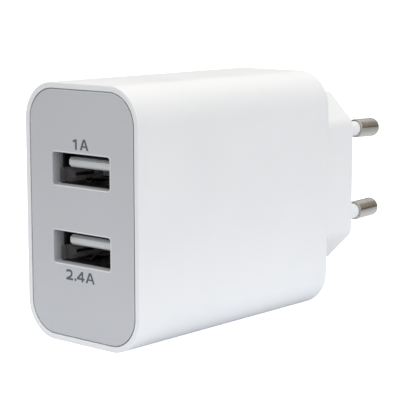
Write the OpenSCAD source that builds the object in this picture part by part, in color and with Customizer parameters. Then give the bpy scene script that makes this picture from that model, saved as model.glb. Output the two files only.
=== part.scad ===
// Two-port USB wall charger with a fixed two-pin plug.
// Frame: +X to the right when looking at the ports, -Y out of the ports, +Z up.
// The origin is under the middle of the charger, on the surface it stands on.

/* [Body] */
// Width of the body, left to right
body_w = 28; // [28:0.5:32]
// Height of the body
body_h = 46.5; // [46.5:0.5:52]
// Length of the body, from the port panel to the rear wall
body_l = 54; // [54:0.5:60]
// Radius of the four long edges of the body
corner_r = 6.9; // [6.4:0.1:7.6]
// Thickness of the side walls
wall = 1.9; // [1.7:0.05:1.9]
// Width of the white rim around the port panel
rim = 1.05; // [0.95:0.05:1.2]

/* [Port panel] */
// Thickness of the port panel
panel_t = 1.9; // [1.7:0.05:1.9]
// Width of the groove between the rim and the panel
panel_gap = 0.2; // [0.15:0.01:0.25]
// Width of each port window
port_w = 14.1; // [13.8:0.1:14.6]
// Height of each port window
port_h = 5.8; // [5.8:0.1:6.4]
// Height of the upper port above the middle of the body
upper_z = 8; // [7.5:0.1:9]
// Height of the lower port above the middle of the body
lower_z = -6; // [-7:0.1:-5.8]

/* [Plug] */
// Width of the plug block
plug_w = 13.7; // [13.2:0.1:14]
// Height of the plug block
plug_h = 35.3; // [35:0.1:35.6]
// Height of the flat flank of the plug block
plug_flat = 23.4; // [23:0.1:24]
// Radius of the creases of the plug block
plug_r = 2.6; // [1:0.1:4.2]
// Length of the plug block behind the body
plug_l = 18.4; // [18:0.1:20]
// Diameter of the bare end of each pin
pin_d = 4; // [3.94:0.01:4.06]
// Length of each pin in front of the plug block
pin_l = 17; // [16.5:0.1:19.5]
// Distance between the pins where they leave the plug block
pin_base = 18.6; // [18:0.1:19.2]
// Distance between the pins at their tips
pin_tip = 17.6; // [17:0.1:18]
// Length of the insulating sleeve on each pin
sleeve_l = 10; // [9.5:0.1:10.5]
// Diameter of the insulating sleeve
sleeve_d = 3.1; // [3:0.05:3.65]

/* [Hidden] */
$fn = 64;
eps = 0.02;
front_y = -(body_l + plug_l + pin_l) / 2;
mid_z = body_h / 2;
in_w = body_w - 2 * wall;
in_h = body_h - 2 * wall;
in_r = corner_r - wall;
rear_t = 2;
ledge_v = panel_t + 0.05;
flange_v = body_l - rear_t - 2;
face_v = body_l + plug_l;
tilt = atan((pin_base - pin_tip) / 2 / pin_l);
end_t = 4;
plug_wall = 1.7;
shank_r = 1.2;
// The groove round the panel is this deep; below it the panel fits the rim
groove_v = 0.3;
panel_fit = 0.04;
// Port windows narrow towards the receptacle, which sits in a recess behind
port_v = 1.45;
port_draft_w = 0.8;
port_draft_h = 0.3;
recess_w = 14.3;
recess_h = 6.4;
port_in_w = port_w - port_draft_w;
port_in_h = port_h - port_draft_h;
// USB-A receptacle
shell_w = 13.2;
shell_h = 5.75;
shell_t = 0.3;
shell_v0 = 1.5;
shell_v1 = 15;
mouth_v = 2.6;
mouth_w = 0.6;
mouth_h = 0.29;
tongue_v0 = 2.45;
tongue_w = 11.1;
tongue_z0 = 0.05;
tongue_z1 = 1.89;
block_v0 = 11.5;
contact_x = [-3.5, -1, 1, 3.5];
contact_z = 0.5;
spring_x = [-3.1, 3.1];
spring_t = 0.25;
// Circuit boards
usb_v0 = 15.1;
usb_v1 = 16.3;
board_x0 = -9.6;
board_x1 = -8;
board_v0 = 17;
board_v1 = 49.3;
board_hz = 20;
header_x = -7.2;
header_z = [-3.45, -1.15, 1.15, 3.45];
// Transformer
tr_x = -1;
tr_v = 29.5;
tr_pin_v = [-5, -1.7, 1.7, 5];
tr_pin_z = 5.4;
// Parts that stand on the main board: [v, z]
mains_at = [[44.8, 0], [44.8, 15.2]];
out_at = [[21.2, 14.2], [21.2, -14.2]];
choke_at = [44.6, -15.2];
fuse_v = 39.3;
fuse_z = -13;
yc_v = 29;
yc_z = -13;
opto_v = 29;
opto_z = 13;

function unit(p) = p / norm(p);
// An arc of radius r in place of the corner p1 of a convex outline
function corner(p0, p1, p2, r, n = 6) =
  let (a = unit(p0 - p1), b = unit(p2 - p1), h = acos(a * b) / 2,
    c = p1 + unit(a + b) * r / sin(h),
    s = p1 + a * r / tan(h) - c, e = p1 + b * r / tan(h) - c,
    a0 = atan2(s.y, s.x), d = (atan2(e.y, e.x) - a0 + 540) % 360 - 180)
  [for (i = [0:n]) c + r * [cos(a0 + d * i / n), sin(a0 + d * i / n)]];
// Outline of the plug block, moved out by g all round
function plug_pts(g) =
  let (w = plug_w / 2, f = plug_flat / 2, h = plug_h / 2, s = h - f,
    k = g * tan(22.5),
    q = [[w + g, -f - k], [w + g, f + k], [w - s + k, h + g],
      [-(w - s) - k, h + g], [-w - g, f + k], [-w - g, -f - k],
      [-(w - s) - k, -h - g], [w - s + k, -h - g]],
    n = len(q))
  [for (i = [0:n - 1], p = corner(q[(i + n - 1) % n], q[i], q[(i + 1) % n],
    abs(q[i].x) > w - s + abs(k) + 0.5 ? max(plug_r + g, 0.3) : 0.8 + max(g, -0.4))) p];
// Outline of a strip of thickness t along a path
function turn(p, i) = let (n = len(p),
    a = unit(p[min(i + 1, n - 1)] - p[min(i, n - 2)]),
    b = unit(p[max(i, 1)] - p[max(i - 1, 0)]), m = unit(a + b))
  [-m.y, m.x] / (m * a);
function strip(p, t) = concat(
  [for (i = [0:len(p) - 1]) p[i] + turn(p, i) * t / 2],
  [for (i = [len(p) - 1:-1:0]) p[i] - turn(p, i) * t / 2]);

// Everything below is drawn with v along Y from the port face and z from the middle
module at_body() { translate([0, front_y, mid_z]) children(); }
module rr(w, h, r) {
  square([w - 2 * r, h], center = true);
  square([w, h - 2 * r], center = true);
  for (x = [-1, 1], y = [-1, 1])
    translate([x * (w / 2 - r), y * (h / 2 - r)]) circle(r);
}
// Extrudes an X-Z outline from v0 to v1
module along(v0, v1) {
  translate([0, v1, 0]) rotate([90, 0, 0]) linear_extrude(v1 - v0) children();
}
// Extrudes a v-z outline across X
module across(x, w) {
  translate([x, 0, 0]) rotate([90, 0, 90]) linear_extrude(w, center = true) children();
}
module box(a, b) { translate(a) cube(b - a); }
// A block that tapers from w0 x h0 at v0 to w1 x h1 at v1
module taper(w0, h0, w1, h1, v0, v1) {
  intersection() {
    linear_extrude(max(h0, h1) + 1, center = true)
      polygon([[-w0 / 2, v0], [w0 / 2, v0], [w1 / 2, v1], [-w1 / 2, v1]]);
    across(0, max(w0, w1) + 1)
      polygon([[v0, -h0 / 2], [v0, h0 / 2], [v1, h1 / 2], [v1, -h1 / 2]]);
  }
}
// A cylinder that stands along +X
module post(x0, x1, v, z, r) {
  translate([x0, v, z]) rotate([0, 90, 0]) cylinder(h = x1 - x0, r = r);
}
// Puts a shape drawn along +Z on a pin's axis, base at the plug's end face
module on_pin(s) {
  translate([0, face_v, s * pin_base / 2]) rotate([-s * tilt, 0, 0])
    rotate([-90, 0, 0]) children();
}

module main_housing() {
  color("white") at_body() {
    difference() {
      along(0, body_l) rr(body_w, body_h, corner_r);
      along(-1, ledge_v) rr(body_w - 2 * rim, body_h - 2 * rim, corner_r - rim);
      along(ledge_v - 0.5, body_l - rear_t) rr(in_w, in_h, in_r);
      along(body_l - rear_t - 1, body_l + 1) polygon(plug_pts(0.1));
      for (s = [-1, 1])
        translate([s * (in_w / 2 + 0.2), 6.3, 0]) cube([0.9, 2.6, 6.4], center = true);
    }
    for (s = [-1, 1])
      translate([-7.2, (17.2 + flange_v - 0.3) / 2, s * (in_h / 2 - 0.6)])
        cube([1.2, flange_v - 0.3 - 17.2, 2.1], center = true);
  }
}

// The panel's outline, a gap g inside the rim, from v0 to its back
module panel_block(g, v0) {
  along(v0, panel_t)
    rr(body_w - 2 * rim - 2 * g, body_h - 2 * rim - 2 * g, corner_r - rim - g);
}
module front_panel() {
  color([0.72, 0.72, 0.74]) at_body() {
    difference() {
      union() {
        panel_block(panel_gap, 0);
        panel_block(panel_fit, groove_v);
      }
      for (z = [upper_z, lower_z]) translate([0, 0, z]) {
        taper(2 * port_w - port_in_w, 2 * port_h - port_in_h, port_in_w, port_in_h, -port_v, port_v);
        along(port_v, panel_t + 1) rr(recess_w, recess_h, 0.9);
      }
    }
    for (s = [-1, 1]) mirror([s > 0 ? 0 : 1, 0, 0])
      translate([in_w / 2 - 0.25, 0, -2.8]) linear_extrude(5.6)
        polygon([[-1.2, panel_t - 0.4], [0, panel_t - 0.4], [0, 5.3],
          [0.5, 5.5], [0.5, 5.9], [0, 7.3], [-1.2, 7.3]]);
  }
}

module plug_insert() {
  color("white") at_body() difference() {
    union() {
      along(flange_v, flange_v + 1.95) rr(19, 39.6, 4);
      along(flange_v + 1, face_v) polygon(plug_pts(0));
    }
    along(flange_v - 1, face_v - end_t) polygon(plug_pts(-plug_wall));
    for (s = [-1, 1]) on_pin(s) {
      translate([0, 0, -2.1]) cylinder(h = 4, r = sleeve_d / 2 + eps);
      translate([0, 0, -end_t - 2]) cylinder(h = end_t + 1, r = shank_r + eps);
    }
  }
}

module pin(s) {
  r = pin_d / 2;
  e = 0.9;
  color([0.72, 0.71, 0.69]) at_body() on_pin(s) rotate_extrude()
    polygon(concat([[0, -9], [0.8, -9], [1, -8.8], [1, -6.3], [1.75, -6.3], [1.75, -4.15],
      [shank_r, -4.15], [shank_r, sleeve_l], [r - 0.12, sleeve_l], [r, sleeve_l + 0.12]],
      [for (i = [0:5]) [r - e + e * cos(i * 18), pin_l - e + e * sin(i * 18)]],
      [[0, pin_l]]));
}
module upper_pin() { pin(1); }
module lower_pin() { pin(-1); }

module pin_sleeve(s) {
  color("white") at_body() on_pin(s) rotate_extrude()
    polygon([[shank_r + eps, -2], [sleeve_d / 2, -2],
      [sleeve_d / 2, sleeve_l - eps], [shank_r + eps, sleeve_l - eps]]);
}
module upper_pin_sleeve() { pin_sleeve(1); }
module lower_pin_sleeve() { pin_sleeve(-1); }

// Strip from the main board to the inner end of a pin
module pin_spring(s) {
  f = face_v;
  color([0.82, 0.66, 0.38]) at_body() translate([0, 0, s * (pin_base / 2 + 0.2) - 1.3])
    linear_extrude(2.6) polygon(strip([[-7.83, 41.4], [-7.83, 44.2],
      [-3.6, 49], [-1.22, f - 14], [-1.22, f - 6.8]], 0.3));
}
module upper_pin_spring() { pin_spring(1); }
module lower_pin_spring() { pin_spring(-1); }

module leads_cut(p, d) { for (q = p) post(board_x0 - 1, board_x1 + 1, q[0], q[1], d / 2); }
function pair(c, d) = [[c[0] - d, c[1]], [c[0] + d, c[1]]];

module main_board() {
  color([0.55, 0.62, 0.3]) at_body() difference() {
    box([board_x0, board_v0, -board_hz], [board_x1, board_v1, board_hz]);
    for (c = mains_at) leads_cut(pair(c, 1.75), 0.9);
    for (c = out_at) leads_cut(pair(c, 1.25), 0.9);
    leads_cut(pair(choke_at, 2), 0.9);
    leads_cut([[fuse_v, fuse_z - 5.2], [fuse_v, fuse_z + 5.2]], 0.9);
    leads_cut([[yc_v - 2.5, yc_z], [yc_v + 2.5, yc_z]], 0.9);
    leads_cut([for (v = tr_pin_v, s = [-1, 1]) [tr_v + v, s * tr_pin_z]], 0.9);
    for (v = [-3.6, 3.6], z = [-1.27, 1.27]) leads_cut([[opto_v + v, opto_z + z]], 0.9);
    for (z = header_z) leads_cut([[board_v0 + 0.85, z]], 1);
  }
}

module usb_board() {
  color([0.2, 0.42, 0.28]) at_body() difference() {
    along(usb_v0, usb_v1) rr(21, 37, 3);
    for (z = [upper_z, lower_z]) translate([0, 0, z]) {
      for (s = [-1, 1])
        translate([s * (shell_w / 2 - shell_t / 2), usb_v0, 0]) cube([0.6, 6, 2], center = true);
      for (x = contact_x)
        translate([x, usb_v0, contact_z]) cube([0.8, 6, 0.5], center = true);
    }
    for (z = header_z) translate([header_x, usb_v0, z]) cube([0.8, 6, 0.8], center = true);
  }
}

// One bent pin that links the two boards
module link_pin(z, g) {
  translate([header_x - 0.3 - g, usb_v0 - 0.8, z - 0.3 - g])
    cube([0.6 + 2 * g, board_v0 + 1.15 - usb_v0 + 0.8 + g, 0.6 + 2 * g]);
  translate([board_x0 - 0.7, board_v0 + 0.55 - g, z - 0.3 - g])
    cube([header_x + 0.3 + g - board_x0 + 0.7, 0.6 + 2 * g, 0.6 + 2 * g]);
}
module link_header() {
  color([0.1, 0.1, 0.11]) at_body() difference() {
    box([board_x1 + 0.03, usb_v1 + 0.03, -4.6], [-5.6, 18.9, 4.6]);
    for (z = header_z) link_pin(z, 0.03);
  }
}
module link_pins() {
  color([0.8, 0.72, 0.45]) at_body() for (z = header_z) link_pin(z, 0);
}

module usb_shell(z) {
  iw = shell_w - 2 * shell_t;
  ih = shell_h - 2 * shell_t;
  color([0.62, 0.62, 0.62]) at_body() translate([0, 0, z]) {
    difference() {
      union() {
        along(mouth_v, shell_v1) rr(shell_w, shell_h, 0.6);
        taper(shell_w + mouth_w, shell_h + mouth_h, shell_w, shell_h, shell_v0, mouth_v);
      }
      along(mouth_v - eps, shell_v1 + 1) rr(iw, ih, 0.35);
      taper(iw + 2 * mouth_w, ih + 2 * mouth_h, iw, ih, 2 * shell_v0 - mouth_v, mouth_v);
      for (x = spring_x, s = [-1, 1])
        translate([x, 7.75, s * shell_h / 2]) cube([2.3, 6.7, 1.4], center = true);
      for (s = [-1, 1])
        translate([s * shell_w / 2, 7.4, -1.625]) cube([1.4, 5, 0.65], center = true);
    }
    for (s = [-1, 1])
      translate([s * (shell_w / 2 - shell_t / 2), 16, 0])
        cube([shell_t, 2.6, 1.6], center = true);
  }
}
module upper_usb_shell() { usb_shell(upper_z); }
module lower_usb_shell() { usb_shell(lower_z); }

module usb_insulator(z) {
  color([0.9, 0.9, 0.9]) at_body() translate([0, 0, z]) difference() {
    union() {
      along(block_v0, shell_v1 - 0.05) rr(shell_w - 2 * shell_t - 0.1, shell_h - 2 * shell_t - 0.1, 0.35);
      across(0, tongue_w) polygon([[block_v0 + 0.3, tongue_z0], [block_v0 + 0.3, tongue_z1],
        [tongue_v0 + 0.72, tongue_z1], [tongue_v0, tongue_z1 - 0.43],
        [tongue_v0, tongue_z0 + 0.45], [tongue_v0 + 0.52, tongue_z0]]);
    }
    for (x = contact_x) {
      translate([x, (3.3 + block_v0) / 2, tongue_z0])
        cube([1.3, block_v0 - 3.3, 1.5], center = true);
      translate([x, block_v0, contact_z]) cube([0.66, 12, 0.31], center = true);
    }
  }
}
module upper_usb_insulator() { usb_insulator(upper_z); }
module lower_usb_insulator() { usb_insulator(lower_z); }

// Leaf ends of the four contacts, which bend up into the tongue
module usb_contacts(z) {
  color([0.85, 0.68, 0.3]) at_body() translate([0, 0, z]) for (x = contact_x)
    across(x, 1) polygon(strip([[11.35, contact_z], [9.8, contact_z], [5.6, contact_z - 0.68],
      [5, contact_z - 0.68], [3.9, contact_z - 0.3]], spring_t));
}
module upper_usb_contacts() { usb_contacts(upper_z); }
module lower_usb_contacts() { usb_contacts(lower_z); }

// Straight tails of the four contacts, soldered to the port board
module usb_terminals(z) {
  color([0.85, 0.68, 0.3]) at_body() translate([0, 0, z]) for (x = contact_x)
    box([x - 0.3, 11.45, contact_z - 0.125], [x + 0.3, 17.6, contact_z + 0.125]);
}
module upper_usb_terminals() { usb_terminals(upper_z); }
module lower_usb_terminals() { usb_terminals(lower_z); }

// Retention fingers in the floor (s = -1) or roof (s = 1) of a shell
module usb_springs(z, s) {
  m = shell_h / 2 - shell_t / 2;
  color([0.62, 0.62, 0.62]) at_body() translate([0, 0, z]) mirror([0, 0, s < 0 ? 1 : 0])
    for (x = spring_x)
      across(x, 2) polygon(strip([[11.02, m], [9.6, m - 0.05], [6.5, m - 0.52],
        [5.7, m - 0.52], [4.65, m - 0.1]], spring_t));
}
module upper_usb_top_springs() { usb_springs(upper_z, 1); }
module upper_usb_bottom_springs() { usb_springs(upper_z, -1); }
module lower_usb_top_springs() { usb_springs(lower_z, 1); }
module lower_usb_bottom_springs() { usb_springs(lower_z, -1); }

module transformer_core() {
  color([0.25, 0.24, 0.25]) at_body() translate([tr_x, tr_v, 0])
    for (s = [-1, 1]) mirror([0, 0, s < 0 ? 1 : 0]) {
      box([-2.5, -8, 4], [2.5, 8, 7]);
      for (v = [-8, -2, 5]) box([-2.5, v, 0.05], [2.5, v + (v == -2 ? 4 : 3), 4.5]);
    }
}
module transformer_bobbin() {
  color([0.13, 0.12, 0.12]) at_body() translate([tr_x, tr_v, 0]) difference() {
    union() {
      box([-3.3, -2.8, -3.85], [3.3, 2.8, 3.85]);
      for (s = [-1, 1]) {
        translate([0, 0, s * 3.5]) cube([10.4, 9.4, 0.7], center = true);
        translate([-5.8, 0, s * 5]) cube([1.6, 12.6, 3.7], center = true);
        for (v = [-4, 4]) translate([-6.75, v * 1.5, s * 6.5]) cube([0.5, 0.6, 0.7], center = true);
      }
    }
    cube([5.3, 4.3, 20], center = true);
    for (v = tr_pin_v, s = [-1, 1]) post(-9, -2.6, v, s * tr_pin_z, 0.37);
  }
}
module transformer_winding() {
  color([0.9, 0.78, 0.25]) at_body() translate([tr_x, tr_v, -3.1]) linear_extrude(6.2)
    difference() {
      rr(9.8, 8.9, 1.6);
      square([6.7, 5.7], center = true);
    }
}
module transformer_tape() {
  color([0.93, 0.8, 0.2]) at_body() translate([tr_x, tr_v, 0]) across(0, 3.8) difference() {
    square([16.5, 14.5], center = true);
    square([16.06, 14.06], center = true);
  }
}
module transformer_pins() {
  color([0.75, 0.74, 0.72]) at_body() for (v = tr_pin_v, s = [-1, 1])
    post(board_x0 - 0.9, tr_x - 5.1, tr_v + v, s * tr_pin_z, 0.35);
}

// Can capacitor of radius r and length l on two leads d either side of its middle
module can(c, r, l, d) {
  translate([board_x1 + 0.1, c[0], c[1]]) rotate([0, 90, 0]) rotate_extrude()
    polygon([[0, 0], [r - 0.3, 0], [r, 0.3], [r, 1.3], [r - 0.35, 1.7], [r - 0.35, 2],
      [r, 2.4], [r, l - 0.4], [r - 0.4, l], [r - 0.9, l], [r - 1, l - 0.25], [0, l - 0.25]]);
  for (q = pair(c, d)) post(board_x0 - 0.8, board_x1 + 0.3, q[0], q[1], 0.3);
}
module mains_capacitors() {
  color([0.16, 0.18, 0.24]) at_body() for (c = mains_at) can(c, 4, 14, 1.75);
}
module output_capacitors() {
  color([0.2, 0.32, 0.3]) at_body() for (c = out_at) can(c, 3.15, 11.5, 1.25);
}
module filter_choke_core() {
  color([0.2, 0.2, 0.21]) at_body() {
    translate([board_x1 + 0.1, choke_at[0], choke_at[1]]) rotate([0, 90, 0]) rotate_extrude()
      polygon([[0, 0], [3.8, 0], [3.8, 1.2], [1.8, 1.2], [1.8, 7.8], [3.8, 7.8], [3.8, 9], [0, 9]]);
    for (q = pair(choke_at, 2)) post(board_x0 - 0.8, board_x1 + 0.3, q[0], q[1], 0.3);
  }
}
module filter_choke_coil() {
  color([0.72, 0.4, 0.2]) at_body()
    translate([board_x1 + 0.1, choke_at[0], choke_at[1]]) rotate([0, 90, 0]) rotate_extrude()
      polygon([[1.85, 1.25], [3.2, 1.25], [3.35, 2], [3.35, 7], [3.2, 7.75], [1.85, 7.75]]);
}
module fuse_resistor() {
  color([0.3, 0.5, 0.42]) at_body() {
    translate([-5.9, fuse_v, fuse_z]) rotate_extrude()
      polygon([[0, -3.6], [1.2, -3.6], [1.5, -3.3], [1.5, -2.4], [1.3, -2], [1.3, 2],
        [1.5, 2.4], [1.5, 3.3], [1.2, 3.6], [0, 3.6]]);
    translate([-5.9, fuse_v, fuse_z]) cylinder(h = 10.4, r = 0.28, center = true);
    for (s = [-1, 1]) post(board_x0 - 0.8, -5.6, fuse_v, fuse_z + s * 5.2, 0.3);
  }
}
module bridge_rectifier() {
  color([0.1, 0.1, 0.11]) at_body() translate([board_x1, 37.3, 12.6]) {
    box([0.25, -1.95, -2.35], [2.75, 1.95, 2.35]);
    for (s = [-1, 1], z = [-1.25, 1.25]) {
      translate([0.85, s * 2.2, z]) cube([0.3, 0.8, 0.7], center = true);
      translate([0.51, s * 2.5, z]) cube([0.96, 0.3, 0.7], center = true);
      translate([0.18, s * 2.8, z]) cube([0.3, 0.9, 0.7], center = true);
    }
  }
}
module suppression_capacitor() {
  color([0.15, 0.35, 0.65]) at_body() {
    translate([-3.9, yc_v, yc_z]) rotate_extrude()
      polygon([[0, -1.6], [2.6, -1.6], [3.3, -1.2], [3.6, -0.5], [3.6, 0.5], [3.3, 1.2], [2.6, 1.6], [0, 1.6]]);
    for (d = [-2.5, 2.5]) post(board_x0 - 0.8, -4.5, yc_v + d, yc_z, 0.3);
  }
}
module optocoupler() {
  color([0.12, 0.12, 0.13]) at_body() translate([board_x1, opto_v, opto_z]) {
    box([0.5, -3.2, -2.3], [4, 3.2, 2.3]);
    for (s = [-1, 1], z = [-1.27, 1.27]) {
      translate([2.2, s * 3.4, z]) cube([0.26, 0.9, 1.1], center = true);
      translate([0.66 - 0.05, s * 3.6, z]) cube([3.4, 0.26, 0.5], center = true);
      translate([-1.25, s * 3.6, z]) cube([2.1, 0.26, 0.5], center = true);
    }
  }
}
module output_diode() {
  color([0.11, 0.11, 0.12]) at_body() translate([board_x1, 21, 0]) {
    box([0.2, -1.75, -2.2], [2.3, 1.75, 2.2]);
    for (s = [-1, 1]) {
      translate([0.17, 0, s * 2.25]) cube([0.3, 2, 1.1], center = true);
      translate([0.6, 0, s * 2.35]) cube([1, 2, 0.35], center = true);
    }
  }
}
module controller_chip() {
  color([0.1, 0.1, 0.11]) at_body() translate([board_x0, 38, 0]) mirror([1, 0, 0]) {
    box([0.12, -1.95, -2.45], [1.55, 1.95, 2.45]);
    for (s = [-1, 1], z = [-1.905, -0.635, 0.635, 1.905]) {
      translate([0.7, s * 2.1, z]) cube([0.2, 0.7, 0.42], center = true);
      translate([0.43, s * 2.4, z]) cube([0.74, 0.2, 0.42], center = true);
      translate([0.13, s * 2.7, z]) cube([0.2, 0.8, 0.42], center = true);
    }
  }
}
module port_chips() {
  color([0.1, 0.1, 0.11]) at_body() for (z = [13, -12]) translate([4.5, usb_v1, z]) {
    box([-1.45, 0.08, -0.8], [1.45, 1.15, 0.8]);
    for (s = [-1, 1], x = [-0.95, 0, 0.95]) {
      translate([x, 0.45, s * 0.95]) cube([0.4, 0.16, 0.6], center = true);
      translate([x, 0.28, s * 1.25]) cube([0.4, 0.5, 0.16], center = true);
      translate([x, 0.11, s * 1.4]) cube([0.4, 0.16, 0.4], center = true);
    }
  }
}
module chip_resistors() {
  color([0.14, 0.14, 0.15]) at_body()
    for (p = [[33, 5], [33, -5], [33, 8], [42, 5], [42, -5], [25, 9], [25, 0], [21, 5]])
      translate([board_x0 - 0.28, p[0], p[1]]) cube([0.5, 2, 1.25], center = true);
}
module chip_capacitors() {
  color([0.7, 0.6, 0.45]) at_body() {
    for (p = [[29, -9], [25, -9], [21, -5]])
      translate([board_x0 - 0.58, p[0], p[1]]) cube([1.1, 2, 1.25], center = true);
    for (z = [13, -12]) translate([-3, usb_v1 + 0.58, z]) cube([2, 1.1, 1.25], center = true);
  }
}
module insulation_sheet() {
  color([0.85, 0.85, 0.8]) at_body() box([-11.95, 17.4, -14.6], [-11.7, 49, 14.6]);
}

main_housing();
front_panel();
plug_insert();
upper_pin();
lower_pin();
upper_pin_sleeve();
lower_pin_sleeve();
upper_pin_spring();
lower_pin_spring();
main_board();
usb_board();
link_header();
link_pins();
upper_usb_shell();
upper_usb_insulator();
upper_usb_contacts();
upper_usb_terminals();
upper_usb_top_springs();
upper_usb_bottom_springs();
lower_usb_shell();
lower_usb_insulator();
lower_usb_contacts();
lower_usb_terminals();
lower_usb_top_springs();
lower_usb_bottom_springs();
transformer_core();
transformer_bobbin();
transformer_winding();
transformer_tape();
transformer_pins();
mains_capacitors();
output_capacitors();
filter_choke_core();
filter_choke_coil();
fuse_resistor();
bridge_rectifier();
suppression_capacitor();
optocoupler();
output_diode();
controller_chip();
port_chips();
chip_resistors();
chip_capacitors();
insulation_sheet();
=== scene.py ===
import math

import bmesh
import bpy
from mathutils import Matrix, Vector


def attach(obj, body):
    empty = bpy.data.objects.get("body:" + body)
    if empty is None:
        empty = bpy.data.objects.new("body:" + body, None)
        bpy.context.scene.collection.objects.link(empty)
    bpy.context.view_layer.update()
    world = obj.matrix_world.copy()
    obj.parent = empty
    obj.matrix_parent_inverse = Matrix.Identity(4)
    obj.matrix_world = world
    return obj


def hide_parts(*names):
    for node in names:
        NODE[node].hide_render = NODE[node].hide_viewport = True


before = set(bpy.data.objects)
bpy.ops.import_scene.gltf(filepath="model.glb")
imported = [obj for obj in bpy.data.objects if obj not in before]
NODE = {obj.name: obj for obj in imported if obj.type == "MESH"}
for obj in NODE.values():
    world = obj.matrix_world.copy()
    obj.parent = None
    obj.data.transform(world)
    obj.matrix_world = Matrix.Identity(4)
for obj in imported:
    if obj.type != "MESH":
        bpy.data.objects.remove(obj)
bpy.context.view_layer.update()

# Pieces are drawn in millimetres as (x, depth behind the port face, height above the middle),
# and moved into the shared frame at the end.
FRONT, MIDDLE = -44.6999, 23.25
INTO_FRAME = Matrix.Scale(0.001, 4) @ Matrix.Translation((0, FRONT, MIDDLE))
PORTS = {"upper": 8.0, "lower": -6.0}

# ---------------------------------------------------------------- outlines


def rounded(w, h, r, n=20):
    """Rounded rectangle, n steps to a corner."""
    out = []
    for sx, sz, start in ((1, 1, 0), (-1, 1, 90), (-1, -1, 180), (1, -1, 270)):
        for i in range(n + 1):
            a = math.radians(start + 90 * i / n)
            out.append((sx * (w / 2 - r) + r * math.cos(a), sz * (h / 2 - r) + r * math.sin(a)))
    return out


def arc_corner(p0, p1, p2, r, n):
    """The arc of radius r that rounds the corner p1."""
    p0, p1, p2 = Vector(p0), Vector(p1), Vector(p2)
    a, b = (p0 - p1).normalized(), (p2 - p1).normalized()
    half = math.acos(max(-1, min(1, a.dot(b)))) / 2
    if math.pi / 2 - half < 1e-4:
        return [tuple(p1)] * (n + 1)
    c = p1 + (a + b).normalized() * r / math.sin(half)
    s, e = p1 + a * r / math.tan(half) - c, p1 + b * r / math.tan(half) - c
    a0 = math.atan2(s.y, s.x)
    d = (math.atan2(e.y, e.x) - a0 + 3 * math.pi) % (2 * math.pi) - math.pi
    return [(c.x + r * math.cos(a0 + d * i / n), c.y + r * math.sin(a0 + d * i / n)) for i in range(n + 1)]


def round_all(corners, radii, steps):
    n = len(corners)
    return [p for i in range(n)
            for p in arc_corner(corners[i - 1], corners[i], corners[(i + 1) % n], radii[i], steps[i])]


def plug_outline(g):
    """Six-sided outline of the plug block, moved out by g all round."""
    w, f, h = 13.7 / 2, 23.4 / 2, 35.3 / 2
    s = h - f
    k = g * math.tan(math.radians(22.5))
    q = [(w + g, -f - k), (w + g, f + k), (w - s + k, h + g), (-(w - s) - k, h + g),
         (-w - g, f + k), (-w - g, -f - k), (-(w - s) - k, -h - g), (w - s + k, -h - g)]
    crease = [abs(x) > 3 for x, _ in q]
    return round_all(q, [max(2.6 + g, 0.3) if c else 0.8 + max(g, -0.4) for c in crease], [8 if c else 6 for c in crease])


def inset(corners, d):
    """A convex outline, drawn counter-clockwise, moved in by d."""
    out, n = [], len(corners)
    for i in range(n):
        p0, p1, p2 = (Vector(corners[j % n]) for j in (i - 1, i, i + 1))
        a, b = (p1 - p0).normalized(), (p2 - p1).normalized()
        na, nb = Vector((-a.y, a.x)), Vector((-b.y, b.x))
        m = (na + nb).normalized()
        out.append(tuple(p1 + m * d / m.dot(na)))
    return out


def quarter(n):
    """Sine and cosine at n + 1 steps through a right angle."""
    return [(math.sin(math.pi / 2 * i / n), math.cos(math.pi / 2 * i / n)) for i in range(n + 1)]


def at(outline, v, z=0.0):
    return [(x, v, y + z) for x, y in outline]


# ---------------------------------------------------------------- meshes


class Solid:
    """A closed mesh, made of rings of points."""

    def __init__(self):
        self.bm = bmesh.new()

    def ring(self, points):
        return [self.bm.verts.new(p) for p in points]

    def skin(self, a, b):
        n = len(a)
        for i in range(n):
            self.bm.faces.new((a[i], a[(i + 1) % n], b[(i + 1) % n], b[i]))

    def loft(self, *rings):
        made = [r if isinstance(r[0], bmesh.types.BMVert) else self.ring(r) for r in rings]
        for a, b in zip(made, made[1:]):
            self.skin(a, b)
        return made

    def fill(self, *loops):
        """A flat face bounded by the first loop, with the other loops as holes."""
        edges = []
        for loop in loops:
            for a, b in zip(loop, loop[1:] + loop[:1]):
                edges.append(self.bm.edges.get((a, b)) or self.bm.edges.new((a, b)))
        bmesh.ops.triangle_fill(self.bm, use_beauty=True, use_dissolve=False, edges=edges)

    def fan(self, loop, point):
        """Closes a ring onto one point."""
        tip = self.bm.verts.new(point)
        for a, b in zip(loop, loop[1:] + loop[:1]):
            self.bm.faces.new((a, b, tip))

    def prism(self, outline, holes, place, t0, t1):
        """An outline extruded from t0 to t1; place turns (a, b, t) into a point."""
        loops = [outline, *holes]
        low = [self.ring([place(a, b, t0) for a, b in loop]) for loop in loops]
        high = [self.ring([place(a, b, t1) for a, b in loop]) for loop in loops]
        for a, b in zip(low, high):
            self.skin(a, b)
        self.fill(*low)
        self.fill(*high)

    def box(self, lo, hi):
        outline = [(lo[0], lo[1]), (hi[0], lo[1]), (hi[0], hi[1]), (lo[0], hi[1])]
        self.prism(outline, [], lambda a, b, t: (a, b, t), lo[2], hi[2])

    def mesh(self, name="piece"):
        bmesh.ops.remove_doubles(self.bm, verts=self.bm.verts[:], dist=1e-5)
        bmesh.ops.recalc_face_normals(self.bm, faces=self.bm.faces[:])
        m = bpy.data.meshes.new(name)
        self.bm.to_mesh(m)
        self.bm.free()
        return m


def boxes(*corners):
    s = Solid()
    for lo, hi in corners:
        s.box(lo, hi)
    return s.mesh()


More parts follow.
